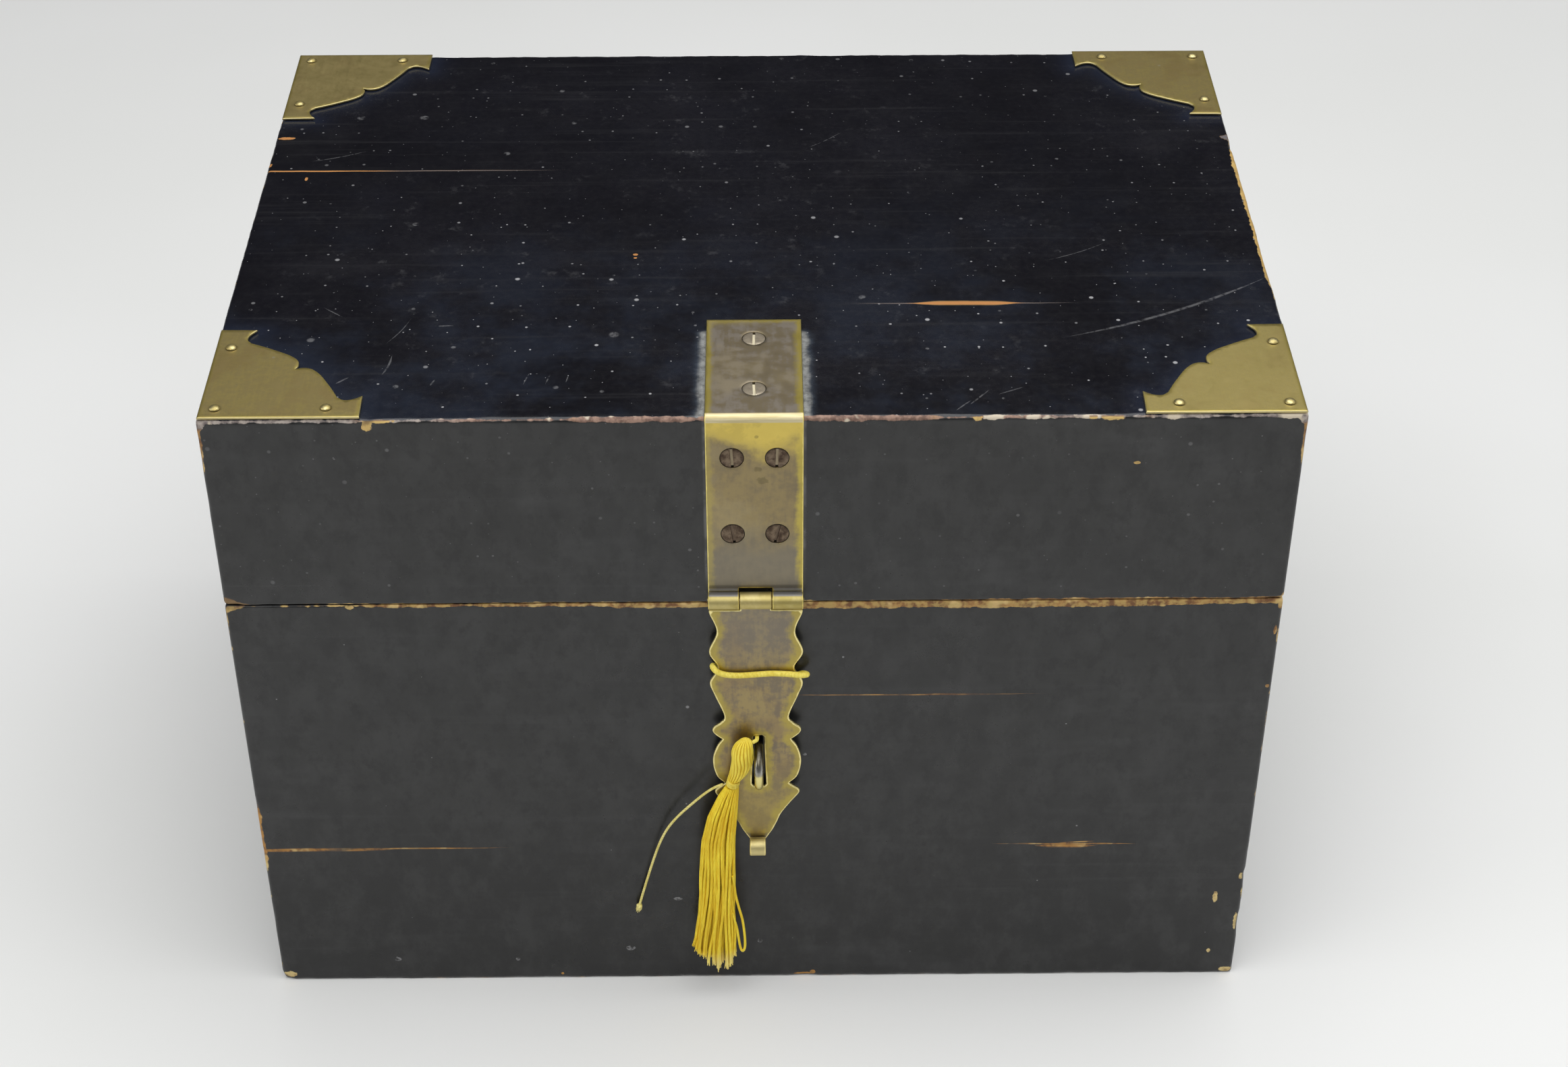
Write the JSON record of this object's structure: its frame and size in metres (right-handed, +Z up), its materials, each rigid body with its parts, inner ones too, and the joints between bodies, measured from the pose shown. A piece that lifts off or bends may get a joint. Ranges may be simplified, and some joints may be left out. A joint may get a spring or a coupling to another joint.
{
  "type": "lacquer box",
  "caption": "Black lacquered wooden box with a lift-off lid, brass corner plates, and a brass hasp over a staple, hung with a silk tassel.",
  "frame": {"origin": "middle of the underside", "axes": "+Z up, the front with the hasp faces -Y, the width runs along X"},
  "size_m": [0.35, 0.2622, 0.2522],
  "materials": {
    "black_lacquer": "worn black lacquer over wood, satin gloss",
    "aged_brass": "tarnished brass, polished along its edges",
    "browned_steel": "browned, dull",
    "staple_wire": "plated wire, worn",
    "yellow_silk": "silk thread with a soft sheen"
  },
  "bodies": {
    "box": {"body_back": "black_lacquer", "body_bottom": "black_lacquer", "body_front": "black_lacquer", "body_left": "black_lacquer", "body_right": "black_lacquer", "corner_plate_back_left": "aged_brass", "corner_plate_back_right": "aged_brass", "corner_plate_front_left": "aged_brass", "corner_plate_front_right": "aged_brass", "hasp_strap": "aged_brass", "hinge_pin": "aged_brass", "lid_back": "black_lacquer", "lid_front": "black_lacquer", "lid_left": "black_lacquer", "lid_right": "black_lacquer", "lid_top": "black_lacquer", "nail_back_left_across": "aged_brass", "nail_back_left_along": "aged_brass", "nail_back_left_corner": "aged_brass", "nail_back_right_across": "aged_brass", "nail_back_right_along": "aged_brass", "nail_back_right_corner": "aged_brass", "nail_front_left_across": "aged_brass", "nail_front_left_along": "aged_brass", "nail_front_left_corner": "aged_brass", "nail_front_right_across": "aged_brass", "nail_front_right_along": "aged_brass", "nail_front_right_corner": "aged_brass", "staple": "staple_wire", "strap_screw_lower_left": "browned_steel", "strap_screw_lower_right": "browned_steel", "strap_screw_top_front": "browned_steel", "strap_screw_top_rear": "browned_steel", "strap_screw_upper_left": "browned_steel", "strap_screw_upper_right": "browned_steel"},
    "hasp": {"hasp_leaf": "aged_brass", "hanging_cord": "yellow_silk", "tassel_head": "yellow_silk", "tassel_binding": "yellow_silk", "tassel_skirt": "yellow_silk", "tail_thread": "yellow_silk", "tail_knot": "yellow_silk"}
  },
  "joints": [
    {"name": "hasp_hinge", "type": "hinge", "parent": "box", "child": "hasp", "pos_m": [0.0003, -0.1272, 0.1795], "axis": [-1, 0, 0], "range_deg": [0, 160]}
  ]
}
